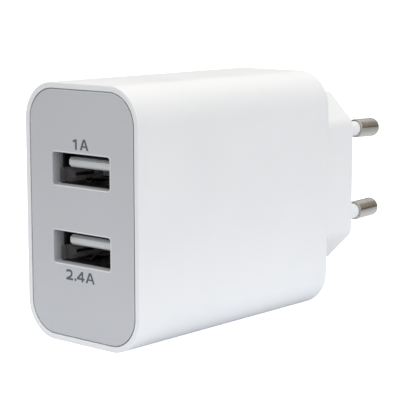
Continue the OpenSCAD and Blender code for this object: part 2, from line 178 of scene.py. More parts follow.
def combine(base, *steps):
    """Adds closed meshes to a closed mesh, or cuts them away."""
    ob = bpy.data.objects.new("base", base)
    bpy.context.scene.collection.objects.link(ob)
    tools = []
    for how, mesh in steps:
        t = bpy.data.objects.new("tool", mesh)
        bpy.context.scene.collection.objects.link(t)
        b = ob.modifiers.new("b", "BOOLEAN")
        b.object, b.operation, b.solver = t, how, "EXACT"
        tools.append(t)
    made = bpy.data.meshes.new_from_object(ob.evaluated_get(bpy.context.evaluated_depsgraph_get()))
    for o in (ob, *tools):
        m = o.data
        bpy.data.objects.remove(o)
        bpy.data.meshes.remove(m)
    bm = bmesh.new()
    bm.from_mesh(made)
    bmesh.ops.remove_doubles(bm, verts=bm.verts[:], dist=2e-4)
    bmesh.ops.dissolve_degenerate(bm, edges=bm.edges[:], dist=1e-5)
    bm.to_mesh(made)
    bm.free()
    return made


def piece(name, mesh, material, slot, body, *nodes, sharp=35):
    """Puts a finished mesh into the frame, in place of the CAD nodes it stands for."""
    mesh.transform(INTO_FRAME)
    mesh.materials.clear()
    mesh.materials.append(material)
    mesh.shade_smooth()
    mesh.set_sharp_from_angle(angle=math.radians(sharp))
    mesh.name = name
    ob = bpy.data.objects.new(name, mesh)
    bpy.context.scene.collection.objects.link(ob)
    w = ob.modifiers.new("normals", "WEIGHTED_NORMAL")
    w.keep_sharp, w.weight = True, 60
    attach(ob, body)
    if nodes:
        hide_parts(*nodes)
    return ob


# ---------------------------------------------------------------- materials


class Look:
    """A procedural material around one shader. Textures lie in the frame, in metres."""

    def __init__(self, name, **sockets):
        self.m = bpy.data.materials.new(name)
        self.m.use_nodes = True
        self.t = self.m.node_tree
        self.shader = self.t.nodes["Principled BSDF"]
        self.co = self.t.nodes.new("ShaderNodeTexCoord").outputs["Object"]
        for k, v in sockets.items():
            self.shader.inputs[k.replace("_", " ")].default_value = v

    def link(self, a, b):
        self.t.links.new(a, b)

    def stretched(self, scale, turn=(0, 0, 0)):
        n = self.t.nodes.new("ShaderNodeMapping")
        n.inputs["Scale"].default_value = scale
        n.inputs["Rotation"].default_value = turn
        self.link(self.co, n.inputs["Vector"])
        return n.outputs[0]

    def noise(self, size, detail=2.0, rough=0.5, twist=0.0, co=None):
        """Cloudy noise with features of about size millimetres."""
        n = self.t.nodes.new("ShaderNodeTexNoise")
        n.inputs["Scale"].default_value = 1000 / size
        n.inputs["Detail"].default_value = detail
        n.inputs["Roughness"].default_value = rough
        n.inputs["Distortion"].default_value = twist
        self.link(co or self.co, n.inputs["Vector"])
        return n.outputs["Fac"]

    def bands(self, size, direction, wobble=0.0, detail=1.0, profile="SIN", co=None):
        """Regular bands size millimetres apart."""
        n = self.t.nodes.new("ShaderNodeTexWave")
        n.wave_type, n.bands_direction, n.wave_profile = "BANDS", direction, profile
        n.inputs["Scale"].default_value = 1000 * 0.3142 / size
        n.inputs["Distortion"].default_value = wobble
        n.inputs["Detail"].default_value = detail
        n.inputs["Detail Scale"].default_value = 1.5
        self.link(co or self.co, n.inputs["Vector"])
        return n.outputs["Fac"]

    def cells(self, size, feature="F1", co=None):
        n = self.t.nodes.new("ShaderNodeTexVoronoi")
        n.feature = feature
        n.inputs["Scale"].default_value = 1000 / size
        self.link(co or self.co, n.inputs["Vector"])
        return n.outputs["Distance"]

    def ramp(self, fac, *stops):
        n = self.t.nodes.new("ShaderNodeValToRGB")
        e = n.color_ramp.elements
        while len(e) < len(stops):
            e.new(0.5)
        for i, (pos, colour) in enumerate(stops):
            e[i].position = pos
            e[i].color = (*colour, 1) if not isinstance(colour, float) else (colour, colour, colour, 1)
        self.link(fac, n.inputs["Fac"])
        return n.outputs["Color"]

    def mix(self, fac, a, b, how="MIX"):
        n = self.t.nodes.new("ShaderNodeMix")
        n.data_type, n.blend_type = "RGBA", how
        for value, socket in ((fac, n.inputs["Factor"]), (a, n.inputs[6]), (b, n.inputs[7])):
            if isinstance(value, bpy.types.NodeSocket):
                self.link(value, socket)
            else:
                socket.default_value = (*value, 1) if isinstance(value, tuple) else value
        return n.outputs[2]

    def span(self, fac, low, high, a=0.0, b=1.0):
        n = self.t.nodes.new("ShaderNodeMapRange")
        for k, v in (("From Min", a), ("From Max", b), ("To Min", low), ("To Max", high)):
            n.inputs[k].default_value = v
        self.link(fac, n.inputs["Value"])
        return n.outputs["Result"]

    def add(self, a, b, share=1.0):
        n = self.t.nodes.new("ShaderNodeMath")
        n.operation = "MULTIPLY_ADD"
        self.link(b, n.inputs[0])
        n.inputs[1].default_value = share
        self.link(a, n.inputs[2])
        return n.outputs[0]

    def colour(self, socket):
        self.link(socket, self.shader.inputs["Base Color"])
        return self

    def roughness(self, socket):
        self.link(socket, self.shader.inputs["Roughness"])
        return self

    def bump(self, height, depth, strength=1.0):
        """Relief of about depth millimetres."""
        n = self.t.nodes.new("ShaderNodeBump")
        n.inputs["Strength"].default_value = strength
        n.inputs["Distance"].default_value = depth / 1000
        self.link(height, n.inputs["Height"])
        self.link(n.outputs["Normal"], self.shader.inputs["Normal"])
        return self


def moulded(name, dark, light, rough, grain, depth, ior=1.46, **more):
    """Moulded plastic: slow flow clouding, a fine eroded grain, and gloss that follows both."""
    k = Look(name, IOR=ior, **more)
    cloud = k.noise(16, 2, 0.45)
    fine = k.noise(grain, 3, 0.6)
    pits = k.cells(grain * 2.6)
    k.colour(k.mix(k.span(fine, 0.0, 0.22, 0.3, 0.7), k.ramp(cloud, (0.32, dark), (0.68, light)), dark))
    k.roughness(k.span(k.add(cloud, fine, 0.8), rough[0], rough[1], 0.55, 1.2))
    k.bump(k.add(fine, pits, 0.5), depth)
    return k.m


def panel_grey():
    """Grey panel plastic, with a painted highlight along the window lips and round the panel's rim and painted shade on
    the walls of the windows and down the edge groove.
    """
    k = Look("grey_panel", IOR=1.46)

    def mark(name):
        n = k.t.nodes.new("ShaderNodeAttribute")
        n.attribute_name = name
        return n.outputs["Fac"]

    dark, light = (0.529, 0.534, 0.555), (0.553, 0.558, 0.580)
    cloud, fine, pits = k.noise(16, 2, 0.45), k.noise(0.11, 3, 0.6), k.cells(0.286)
    face = k.mix(k.span(fine, 0.0, 0.22, 0.3, 0.7), k.ramp(cloud, (0.32, dark), (0.68, light)), dark)
    # painted shade: the window walls and the edge groove darken towards a dark grey the further in they lie
    wall = k.mix(k.span(mark("deep"), 0.0, 1.0), face, (0.20, 0.205, 0.215))
    # painted highlight: the colour turns pale along each window lip and round the panel's rim
    k.colour(k.mix(k.span(k.add(mark("painted_edge_highlight"), fine, 0.15), 0.0, 0.9, 0.1, 1.1), wall, (0.86, 0.865, 0.875)))
    k.roughness(k.span(k.add(cloud, fine, 0.8), 0.46, 0.58, 0.55, 1.2))
    k.bump(k.add(fine, pits, 0.5), 0.006)
    return k.m


def metal(name, dark, light, rough, line, along, depth, **more):
    """Plated or rolled metal: fine lines across one axis, slow tarnish, and smudged gloss."""
    k = Look(name, Metallic=1.0, **more)
    scale = tuple(0.04 if a == along else 1.0 for a in "XYZ")
    lines = k.noise(line, 3, 0.65, co=k.stretched(scale))
    tarnish = k.noise(2.4, 3, 0.55, 0.4)
    k.colour(k.mix(k.span(lines, 0.0, 0.35, 0.35, 0.7), k.ramp(tarnish, (0.3, dark), (0.7, light)), dark))
    k.roughness(k.span(k.add(tarnish, lines, 0.7), rough[0], rough[1], 0.5, 1.2))
    k.bump(lines, depth)
    return k.m


def shell_steel():
    """Plated steel sheet: the plating colour on the shell's lower flanks, less of it near the mouth, and painted
    near-black on the roof, the floor and the flanks beside the tongue, as painted shade.
    """
    k = Look("port_steel", Metallic=1.0)
    lines = k.noise(0.08, 3, 0.65, co=k.stretched((1, 0.04, 1)))
    tarnish = k.noise(2.4, 3, 0.55, 0.4)
    bright = k.ramp(tarnish, (0.3, (0.55, 0.515, 0.515)), (0.7, (0.66, 0.63, 0.63)))
    flank = k.t.nodes.new("ShaderNodeAttribute")
    flank.attribute_name = "flank"
    # painted shade: the steel turns near-black away from the lit lower flanks
    k.colour(k.mix(k.span(lines, 0.0, 0.3, 0.35, 0.7), k.mix(flank.outputs["Fac"], (0.042, 0.040, 0.041), bright), (0.035, 0.033, 0.034)))
    k.link(k.span(flank.outputs["Fac"], 1.0, 0.3), k.shader.inputs["Metallic"])
    k.roughness(k.span(k.add(tarnish, lines, 0.7), 0.34, 0.46, 0.5, 1.2))
    k.bump(lines, 0.001)
    return k.m


WHITE = moulded("white_moulded", (0.805, 0.808, 0.812), (0.832, 0.834, 0.838), (0.34, 0.46), 0.14, 0.004)
GREY = panel_grey()
SLEEVE = moulded("sleeve_white", (0.79, 0.792, 0.79), (0.83, 0.832, 0.83), (0.42, 0.55), 0.09, 0.004)
TONGUE = moulded("tongue_plastic", (0.80, 0.81, 0.81), (0.85, 0.86, 0.86), (0.36, 0.48), 0.10, 0.003,
                 **{"Subsurface Weight": 0.65, "Subsurface Radius": (1.0, 1.0, 1.0), "Subsurface Scale": 0.0009})
BLACK = moulded("black_moulded", (0.012, 0.012, 0.013), (0.028, 0.028, 0.030), (0.42, 0.62), 0.09, 0.006)
PACKAGE = moulded("chip_package", (0.014, 0.014, 0.016), (0.030, 0.030, 0.033), (0.55, 0.75), 0.06, 0.006)
STEEL = shell_steel()
# the fingers' steel is painted near-black, as painted shade far inside the port
SPRING = metal("spring_steel", (0.11, 0.105, 0.105), (0.17, 0.163, 0.163), (0.16, 0.28), 0.08, "Y", 0.001)
GOLD = metal("gold_flash", (0.70, 0.47, 0.16), (0.88, 0.64, 0.27), (0.20, 0.36), 0.06, "Y", 0.0015)
BRONZE = metal("rolled_bronze", (0.52, 0.31, 0.15), (0.70, 0.46, 0.25), (0.26, 0.44), 0.09, "Y", 0.002)
TINNED = metal("tinned_wire", (0.52, 0.52, 0.52), (0.72, 0.72, 0.73), (0.26, 0.46), 0.12, "X", 0.003)


def nickel():
    """Turned and plated pin: turning lines round the pin and a few long scuffs from sockets."""
    k = Look("nickel_pin", Metallic=1.0, Anisotropic=0.25)
    turned = k.bands(0.07, "Y", 1.2, 2.0)
    scuffs = k.noise(0.22, 3, 0.7, co=k.stretched((1.0, 0.05, 1.0)))
    tarnish = k.noise(3.2, 3, 0.5, 0.5)
    k.colour(k.mix(k.span(scuffs, 0.0, 0.5, 0.58, 0.75),
                   k.ramp(tarnish, (0.3, (0.43, 0.412, 0.384)), (0.7, (0.485, 0.469, 0.444))), (0.365, 0.343, 0.316)))
    k.roughness(k.span(k.add(k.add(tarnish, scuffs, 0.9), turned, 0.15), 0.14, 0.30, 0.6, 1.4))
    k.bump(k.add(scuffs, turned, 0.35), 0.0012)
    return k.m


def ink():
    """Pad-printed ink: slightly uneven cover with fine pinholes."""
    k = Look("rating_ink", IOR=1.45)
    cover, fine = k.noise(0.5, 2, 0.5), k.noise(0.06, 2, 0.6)
    k.colour(k.mix(k.span(fine, 0.0, 0.4, 0.62, 0.8),
                   k.ramp(cover, (0.3, (0.092, 0.097, 0.104)), (0.7, (0.116, 0.121, 0.129))), (0.18, 0.185, 0.192)))
    k.roughness(k.span(cover, 0.5, 0.68, 0.3, 0.7))
    k.bump(fine, 0.002)
    return k.m


def board(name, base, track, resin, weave, tracks):
    """Circuit board: woven or pressed base under lacquer, with copper tracks that show through as a paler tone."""
    k = Look(name, IOR=1.5)
    warp = k.bands(weave, "Y", 0.6)
    weft = k.bands(weave, "Z", 0.6)
    cloth = k.add(warp, weft)
    maze = k.cells(tracks, "DISTANCE_TO_EDGE")
    copper = k.ramp(maze, (0.06, 0.0), (0.09, 1.0))
    cloud = k.noise(5, 3, 0.5)
    k.colour(k.mix(copper, k.ramp(cloud, (0.3, base), (0.7, resin)), track))
    k.roughness(k.span(k.add(cloud, cloth, 0.2), 0.28, 0.5, 0.4, 1.1))
    k.bump(k.add(copper, cloth, 0.15), 0.012)
    return k.m


def winding(name, wire, gap, size, direction):
    """Lacquered wire laid turn beside turn."""
    k = Look(name, Metallic=0.75, IOR=1.5, Coat_Weight=0.35, Coat_Roughness=0.15)
    turns = k.bands(size, direction, 0.25)
    cloud = k.noise(2.0, 2, 0.5)
    k.colour(k.mix(k.span(turns, 0.0, 1.0, 0.05, 0.45), gap, k.ramp(cloud, (0.3, wire), (0.7, tuple(min(1, c * 1.18) for c in wire)))))
    k.roughness(k.span(cloud, 0.24, 0.42, 0.3, 0.7))
    k.bump(turns, 0.06)
    return k.m


def tape():
    k = Look("yellow_tape", IOR=1.5, Coat_Weight=0.2, Coat_Roughness=0.2)
    wrap, crinkle = k.bands(1.9, "X", 0.8), k.noise(0.9, 3, 0.6, 0.8)
    k.colour(k.mix(k.span(crinkle, 0.0, 0.5, 0.4, 0.8), k.ramp(wrap, (0.0, (0.72, 0.47, 0.04)), (0.3, (0.84, 0.60, 0.07))), (0.66, 0.42, 0.04)))
    k.roughness(k.span(crinkle, 0.22, 0.42, 0.3, 0.7))
    k.bump(k.add(crinkle, wrap, 0.4), 0.02)
    return k.m


def can_sleeve(name, sleeve, stripe, top):
    """Shrunk sleeve with a plain stripe along one side, over a bare can whose end shows."""
    k = Look(name, IOR=1.5)
    shrink, fine = k.noise(1.6, 3, 0.55, co=k.stretched((0.3, 1, 1))), k.noise(0.1, 2, 0.5)
    side = k.bands(9.0, "Z", 0.0)
    cover = k.mix(k.ramp(side, (0.86, 0.0), (0.9, 1.0)), k.ramp(shrink, (0.3, sleeve), (0.7, tuple(c * 1.35 for c in sleeve))), stripe)
    x = k.t.nodes.new("ShaderNodeSeparateXYZ")
    k.link(k.co, x.inputs[0])
    end = k.span(x.outputs["X"], 0.0, 1.0, top - 0.0004, top - 0.0003)
    k.colour(k.mix(end, cover, (0.62, 0.62, 0.63)))
    k.link(k.span(end, 0.0, 0.95), k.shader.inputs["Metallic"])
    k.roughness(k.span(k.add(shrink, fine, 0.4), 0.2, 0.42, 0.4, 1.0))
    k.bump(k.add(shrink, fine, 0.2), 0.02)
    return k.m


def fired(name, dark, light, rough, grain, depth, coat):
    """Sintered or dipped ceramic: speckled, with a thin glaze where coat is above zero."""
    k = Look(name, IOR=1.6, Coat_Weight=coat, Coat_Roughness=0.12)
    speck, cloud, fine = k.cells(grain), k.noise(1.8, 3, 0.55), k.noise(grain, 3, 0.6)
    k.colour(k.mix(k.span(speck, 0.0, 0.45, 0.25, 0.75), k.ramp(cloud, (0.3, dark), (0.7, light)), tuple(c * 0.6 for c in dark)))
    k.roughness(k.span(k.add(cloud, fine, 0.6), rough[0], rough[1], 0.5, 1.1))
    k.bump(k.add(fine, speck, 0.5), depth)
    return k.m


def film():
    """Thin cloudy insulating film with roll marks."""
    k = Look("insulating_film", IOR=1.5)
    cloud, rolled = k.noise(4, 3, 0.5), k.noise(0.5, 2, 0.5, co=k.stretched((1, 0.06, 1)))
    k.colour(k.ramp(k.add(cloud, rolled, 0.3), (0.45, (0.60, 0.60, 0.52)), (0.85, (0.72, 0.72, 0.64))))
    k.roughness(k.span(rolled, 0.24, 0.44, 0.3, 0.7))
    k.bump(k.add(cloud, rolled, 0.3), 0.02)
    return k.m


NICKEL, INK = nickel(), ink()
TAN_BOARD = board("tan_board", (0.40, 0.29, 0.11), (0.50, 0.33, 0.13), (0.46, 0.34, 0.14), 0.5, 4.2)
GREEN_BOARD = board("green_board", (0.016, 0.085, 0.040), (0.035, 0.16, 0.07), (0.020, 0.10, 0.05), 0.42, 3.1)

# ---------------------------------------------------------------- housing


def housing_mesh():
    s = Solid()

    def outline(d, v):
        return at(rounded(28 - 2 * d, 46.5 - 2 * d, 6.9 - d, 24), v)

    edge, lip, back = 0.22, 0.10, 0.65
    outer = [outline(edge * (1 - sn), edge * (1 - cs)) for sn, cs in quarter(6)]
    outer += [outline(0, v) for v in (14, 27, 40)]
    outer += [outline(back * (1 - cs), 54 - back + back * sn) for sn, cs in quarter(7)]
    outer = s.loft(*outer)
    inner = [outline(1.05 - lip + lip * sn, lip * (1 - cs)) for sn, cs in quarter(4)]
    inner += [outline(1.05, 1.95), outline(1.9, 1.95), outline(1.9, 52)]
    inner = s.loft(*inner)
    s.skin(outer[0], inner[0])
    hole = [at(plug_outline(0.1), 52), at(plug_outline(0.1), 53.86)]
    hole += [at(plug_outline(0.1 + 0.14 * (1 - cs)), 53.86 + 0.14 * sn) for sn, cs in quarter(3)[1:]]
    hole = s.loft(*hole)
    s.fill(inner[-1], hole[0])
    s.fill(outer[-1], hole[-1])
    pockets = boxes(*[((min(a, b), 5.0, -3.2), (max(a, b), 7.6, 3.2)) for a, b in ((11.85, 12.75), (-11.85, -12.75))])
    ribs = boxes(*[((-7.8, 17.2, min(a, b)), (-6.6, 49.7, max(a, b))) for a, b in ((19.7, 21.8), (-19.7, -21.8))])
    return combine(s.mesh(), ("DIFFERENCE", pockets), ("UNION", ribs))


piece("housing", housing_mesh(), WHITE, "white_plastic", "charger", "main_housing")

# ---------------------------------------------------------------- port panel

FACE = 0.05  # the panel's face sits this far below the CAD face; the fine lip round each window and the print stand on it


def panel_mesh():
    s = Solid()

    def outline(d, v):
        return at(rounded(25.5 - 2 * d, 44 - 2 * d, 5.65 - d, 24), v)

    edge = 0.14
    rim = [outline(edge * (1 - sn), FACE + edge * (1 - cs)) for sn, cs in quarter(4)]
    rim = s.loft(*rim, outline(0, 0.3), outline(-0.16, 0.3), outline(-0.16, 1.8), outline(-0.06, 1.9))
    lip = [(0.42, FACE), (0.36, 0.042), (0.30, 0.020), (0.255, 0.007), (0.21, 0.004)]
    lip += [(0.2 * (1 - sn), 0.004 + 0.2 * (1 - cs)) for sn, cs in quarter(6)[1:]]
    windows = []
    for z in PORTS.values():
        def port(w, h, r, v):
            return at(rounded(w, h, r, 10), v, z)
        rings = [port(14.1 + 2 * e, 5.8 + 2 * e, 0.5 + e, v) for e, v in lip]
        rings += [port(13.32, 5.51, 0.42, 1.38), port(13.3, 5.5, 0.42, 1.42), port(13.36, 5.56, 0.45, 1.45)]
        rings += [port(14.3, 6.4, 0.9, 1.45), port(14.3, 6.4, 0.9, 1.82), port(14.46, 6.56, 0.98, 1.9)]
        windows.append(s.loft(*rings))
    s.fill(rim[0], *[w[0] for w in windows])
    s.fill(rim[-1], *[w[-1] for w in windows])
    hooks = Solid()
    for side in (1, -1):
        x = 11.85
        shape = [(x - 1.2, 1.5), (x, 1.5), (x, 5.3), (x + 0.5, 5.5), (x + 0.5, 5.9), (x, 7.3), (x - 1.2, 7.3)]
        hooks.prism([(side * a, b) for a, b in shape], [], lambda a, b, t: (a, b, t), -2.8, 2.8)
    made = combine(s.mesh(), ("UNION", hooks.mesh()))
    # painted highlight along the window lips and round the panel's rim, and painted shade on the window walls and down
    # the edge groove, stronger the further in a point lies
    painted_edge_highlight, deep = (made.attributes.new(n, "FLOAT", "POINT") for n in ("painted_edge_highlight", "deep"))
    for p in made.vertices:
        x, v, z = p.co
        near = [zc for zc in PORTS.values() if abs(x) < 7.5 and abs(z - zc) < 3.35]
        if near and abs(v - FACE) > 0.003:
            qx, qz = abs(x) - 6.55, abs(z - near[0]) - 2.4
            out = math.hypot(max(qx, 0.0), max(qz, 0.0)) + min(max(qx, qz), 0.0) - 0.5
            middle = 0.14 if z - near[0] < -2.7 else 0.20
            # painted highlight: a band across each lip's rounding, kept faint on the left side
            painted_edge_highlight.data[p.index].value = max(0.0, 1 - abs(out - middle) / 0.13) * (0.25 if x < -6.7 else 1.0)
            # painted shade on the window walls, lighter on the bottom wall
            floor = 0.55 if z - near[0] < -2.6 and x > -6.6 else 1.0
            deep.data[p.index].value = max(0.0, min(0.92 if x < -6.6 else 1.0, (v + (0.2 if x < -6.6 else 0.1)) / 0.8)) * floor if out < 0.12 else 0.0
        # the panel's edge: painted shade down its side in the groove, painted highlight on its rounded rim
        elif not near and v > FACE + 0.005:
            side = max(0.0, min(1.0, (abs(x) - 7.1) / 4.2))
            if v > 0.17 - 0.04 * side:
                deep.data[p.index].value = 0.2 + 0.8 * side
            else:
                painted_edge_highlight.data[p.index].value = 0.5 - 0.3 * side
    return made


piece("port_panel", panel_mesh(), GREY, "grey_plastic", "charger", "front_panel")

# ---------------------------------------------------------------- port ratings


def letter_a(cx, half, base, top, bar):
    """Plain capital A: outline and counter."""
    foot, flat = 0.44, 0.28
    slope = (half - flat) / (top - base)

    def inner(z):
        return half - foot - (z - base) * slope

    outer = [(cx - half, base), (cx - half + foot, base), (cx - inner(bar), bar), (cx + inner(bar), bar),
             (cx + half - foot, base), (cx + half, base), (cx + flat, top), (cx - flat, top)]
    z = bar + 0.28
    return outer, [[(cx - inner(z), z), (cx + inner(z), z), (cx, base + (half - foot) / slope)]]


def numeral_two(x, base, top):
    """Plain numeral 2, from a curved stroke of even width and a foot."""
    def curve(pts, n=8):
        p = [Vector(q) for q in pts]
        p = [2 * p[0] - p[1], *p, 2 * p[-1] - p[-2]]
        out = []
        for i in range(1, len(p) - 2):
            for j in range(n):
                t = j / n
                out.append(0.5 * (2 * p[i] + (p[i + 1] - p[i - 1]) * t
                                  + (2 * p[i - 1] - 5 * p[i] + 4 * p[i + 1] - p[i + 2]) * t * t
                                  + (3 * p[i] - p[i - 1] - 3 * p[i + 1] + p[i + 2]) * t ** 3))
        return out + [p[-2]]

    h = top - base
    mid = curve([(x + 0.10, base + 0.80 * h), (x + 0.42, base + 0.895 * h), (x + 0.82, base + 0.92 * h),
                 (x + 1.28, base + 0.86 * h), (x + 1.45, base + 0.68 * h), (x + 1.32, base + 0.47 * h),
                 (x + 0.92, base + 0.28 * h), (x + 0.26, base + 0.12 * h)])
    over, under = [], []
    for i, p in enumerate(mid):
        d = (mid[min(i + 1, len(mid) - 1)] - mid[max(i - 1, 0)]).normalized()
        n = Vector((-d.y, d.x)) * 0.2
        over.append(tuple(p + n))
        under.append(tuple(p - n))
    # the stroke runs into the foot: its outer side stops at the foot's top, its inner side at the foot's end
    top_of_foot = base + 0.36
    stop = next(i for i in range(len(over) // 2, len(over)) if over[i][1] < top_of_foot)
    (x0, z0), (x1, z1) = over[stop - 1], over[stop]
    join = (x0 + (x1 - x0) * (top_of_foot - z0) / (z1 - z0), top_of_foot)
    foot = [join, (x + 1.76, top_of_foot), (x + 1.76, base), (x + 0.02, base), (x + 0.02, base + 0.24)]
    return over[:stop] + foot + [q for q in under[::-1] if q[1] > base + 0.40], []


def numeral_four(x, base, top):
    """Plain numeral 4: outline and counter."""
    stem, bar = (x + 1.18, x + 1.58), (base + 0.37, base + 0.69)
    outer = [(stem[0], base), (stem[1], base), (stem[1], bar[0]), (x + 1.92, bar[0]), (x + 1.92, bar[1]),
             (stem[1], bar[1]), (stem[1], top), (x + 1.21, top), (x, bar[1] - 0.05), (x, bar[0]), (stem[0], bar[0])]
    slope = (top - bar[1] + 0.05) / 1.21
    left = x + 0.05 / slope + 0.37 * math.sqrt(1 + 1 / slope ** 2)
    return outer, [[(left, bar[1]), (stem[0], bar[1]), (stem[0], bar[1] + (stem[0] - left) * slope)]]


def print_mesh(glyphs):
    s = Solid()
    for outer, holes in glyphs:
        s.prism(outer, holes, lambda a, b, t: (a, t, b), FACE - 0.018, FACE + 0.01)
    return s.mesh()


one = ([(-1.28, 11.68), (-0.84, 11.68), (-0.84, 13.52), (-1.18, 13.52), (-1.84, 13.26), (-1.74, 12.93), (-1.28, 13.10)], [])
piece("upper_port_rating", print_mesh([one, letter_a(0.97, 1.07, 11.68, 13.58, 12.17)]), INK, "grey_plastic", "charger")
dot = (round_all([(-1.86, -11.73), (-1.41, -11.73), (-1.41, -11.28), (-1.86, -11.28)], [0.12] * 4, [4] * 4), [])
piece("lower_port_rating",
      print_mesh([numeral_two(-4.02, -11.73, -9.87), dot, numeral_four(-1.27, -11.73, -9.87), letter_a(2.06, 1.12, -11.73, -9.84, -11.23)]),
      INK, "grey_plastic", "charger")

# ---------------------------------------------------------------- plug block, pins and sleeves

FACE_END = 72.4
TILT = math.atan((18.6 - 17.6) / 2 / 17)


def on_pin(side, r, y, n=64, plane=None):
    """A ring of radius r round a pin's axis, y beyond the plug's end face, or where it meets the plane at that depth."""
    c, s = math.cos(TILT), math.sin(TILT)
    out = []
    for i in range(n):
        a = 2 * math.pi * i / n
        yy = y if plane is None else (plane - FACE_END - r * math.sin(a) * side * s) / c
        out.append((r * math.cos(a), FACE_END + yy * c + r * math.sin(a) * side * s,
                    side * 9.3 - side * yy * s + r * math.sin(a) * c))
    return out


def plug_mesh():
    s = Solid()
    edge = 0.6
    flange = s.loft(at(rounded(18.7, 39.3, 3.85, 12), 50), at(rounded(19, 39.6, 4, 12), 50.15),
                    at(rounded(19, 39.6, 4, 12), 51.8), at(rounded(18.7, 39.3, 3.85, 12), 51.95))
    block = [at(plug_outline(0), v) for v in (51.95, 57, 62, 67)]
    block += [at(plug_outline(-edge * (1 - cs)), FACE_END - edge + edge * sn) for sn, cs in quarter(7)]
    block = s.loft(*block)
    cavity = s.loft(at(plug_outline(-1.7), 50), at(plug_outline(-1.7), FACE_END - 4))
    outside, inside = [], []
    for side in (1, -1):
        bore = s.loft(on_pin(side, 1.70, 0, plane=FACE_END), on_pin(side, 1.62, -0.05), on_pin(side, 1.57, -0.14),
                      on_pin(side, 1.57, -2.1), on_pin(side, 1.22, -2.1), on_pin(side, 1.22, 0, plane=FACE_END - 4))
        outside.append(bore[0])
        inside.append(bore[-1])
    s.fill(flange[0], cavity[0])
    s.fill(flange[-1], block[0])
    s.fill(block[-1], *outside)
    s.fill(cavity[-1], *inside)
    return s.mesh()


piece("plug_block", plug_mesh(), WHITE, "white_plastic", "charger", "plug_insert")


def pin_mesh(side):
    s = Solid()
    end = 16.998
    tip = [(2 - 0.9 + 0.9 * cs, end - 0.9 + 0.9 * sn) for sn, cs in quarter(9)]
    profile = [(0.8, -9), (1, -8.8), (1, -6.3), (1.68, -6.3), (1.75, -6.23), (1.75, -4.22), (1.68, -4.15), (1.2, -4.15),
               (1.2, 10), (1.86, 10), (1.93, 10.02), (1.98, 10.07), (2, 10.14), (2, 13), *tip]
    rings = s.loft(*[on_pin(side, r, y) for r, y in profile])
    s.fan(rings[0], on_pin(side, 0, -9, 1)[0])
    middle = s.loft(rings[-1], on_pin(side, 0.6, end))
    s.fan(middle[-1], on_pin(side, 0, end, 1)[0])
    return s.mesh()


def sleeve_mesh(side):
    s = Solid()
    profile = [(1.22, -2), (1.49, -2), (1.55, -1.94), (1.55, 4), (1.55, 9.88), (1.535, 9.94), (1.49, 9.98), (1.22, 9.98)]
    rings = s.loft(*[on_pin(side, r, y) for r, y in profile])
    s.skin(rings[-1], rings[0])
    return s.mesh()


for where, side in (("upper", 1), ("lower", -1)):
    piece(where + "_plug_pin", pin_mesh(side), NICKEL, "nickel", "charger", where + "_pin")
    piece(where + "_pin_collar", sleeve_mesh(side), SLEEVE, "sleeve_plastic", "charger", where + "_pin_sleeve")

# ---------------------------------------------------------------- ports


def shell_mesh(z):
    """Stamped shell: flared mouth, windows for the fingers, side slots and solder legs."""
    s = Solid()

    def outline(d, v):
        f = max(0.0, (2.75 - v) / 1.25) ** 1.5
        w, h = 13.2 + 0.6 * f - 2 * d, 5.75 + 0.29 * f - 2 * d
        p = rounded(w, h, 0.6 + 0.15 * f - d * 0.25 / 0.3, 8)
        # more points half-way up each side and near the ends of the floor, where the painted shade begins
        p = (p[:18] + [(-w / 2, 0.1), (-w / 2, -0.25)] + p[18:27] + [(-5.0, -h / 2), (5.0, -h / 2)]
             + p[27:] + [(w / 2, -0.25), (w / 2, 0.1)])
        return at(p, v, z)

    flare = [1.54, 1.7, 1.9, 2.1, 2.3, 2.5, 2.75]
    rings = [outline(0, 14.95), *[outline(0, v) for v in flare[::-1]], outline(0.04, 1.5), outline(0.26, 1.5),
             *[outline(0.3, v) for v in flare], outline(0.3, 14.95)]
    rings = s.loft(*rings)
    s.loft(rings[0], outline(0.05, 15), outline(0.25, 15), rings[-1])
    cuts = [((x - 1.15, 4.4, min(a, b)), (x + 1.15, 11.1, max(a, b)))
            for x in (-3.1, 3.1) for a, b in ((z + 2.175, z + 3.575), (z - 2.175, z - 3.575))]
    legs = [((min(a, b), 14.7, z - 0.8), (max(a, b), 17.3, z + 0.8)) for a, b in ((6.3, 6.6), (-6.3, -6.6))]
    slots = Solid()
    for a, b in ((5.9, 7.3), (-7.3, -5.9)):
        slots.prism(rounded(5, 0.65, 0.22, 5), [], lambda p, q, t: (t, 7.4 + p, z - 1.625 + q), a, b)
    made = combine(s.mesh(), ("DIFFERENCE", boxes(*cuts)), ("DIFFERENCE", slots.mesh()), ("UNION", boxes(*legs)))
    # painted shade mask: 1 shows the plating colour on the lower flanks, less near the mouth; 0 paints the roof, the
    # floor and the sides beside the tongue near-black, save a faint painted lit band at the mouth
    flank = made.attributes.new("flank", "FLOAT", "POINT")
    for p in made.vertices:
        x, v, h = p.co
        share = (0.2 if v < 1.8 else 0.42 if v < 2.7 else 0.56 if v < 3 else 1.0) if h < z - 0.2 else (0.35 if v < 1.95 else 0.0)
        flank.data[p.index].value = max(0.0, min(1.0, (abs(x) - (5.1 if h < z - 0.2 and v > 2.7 else 6.0)) / 0.28)) * share
    return made


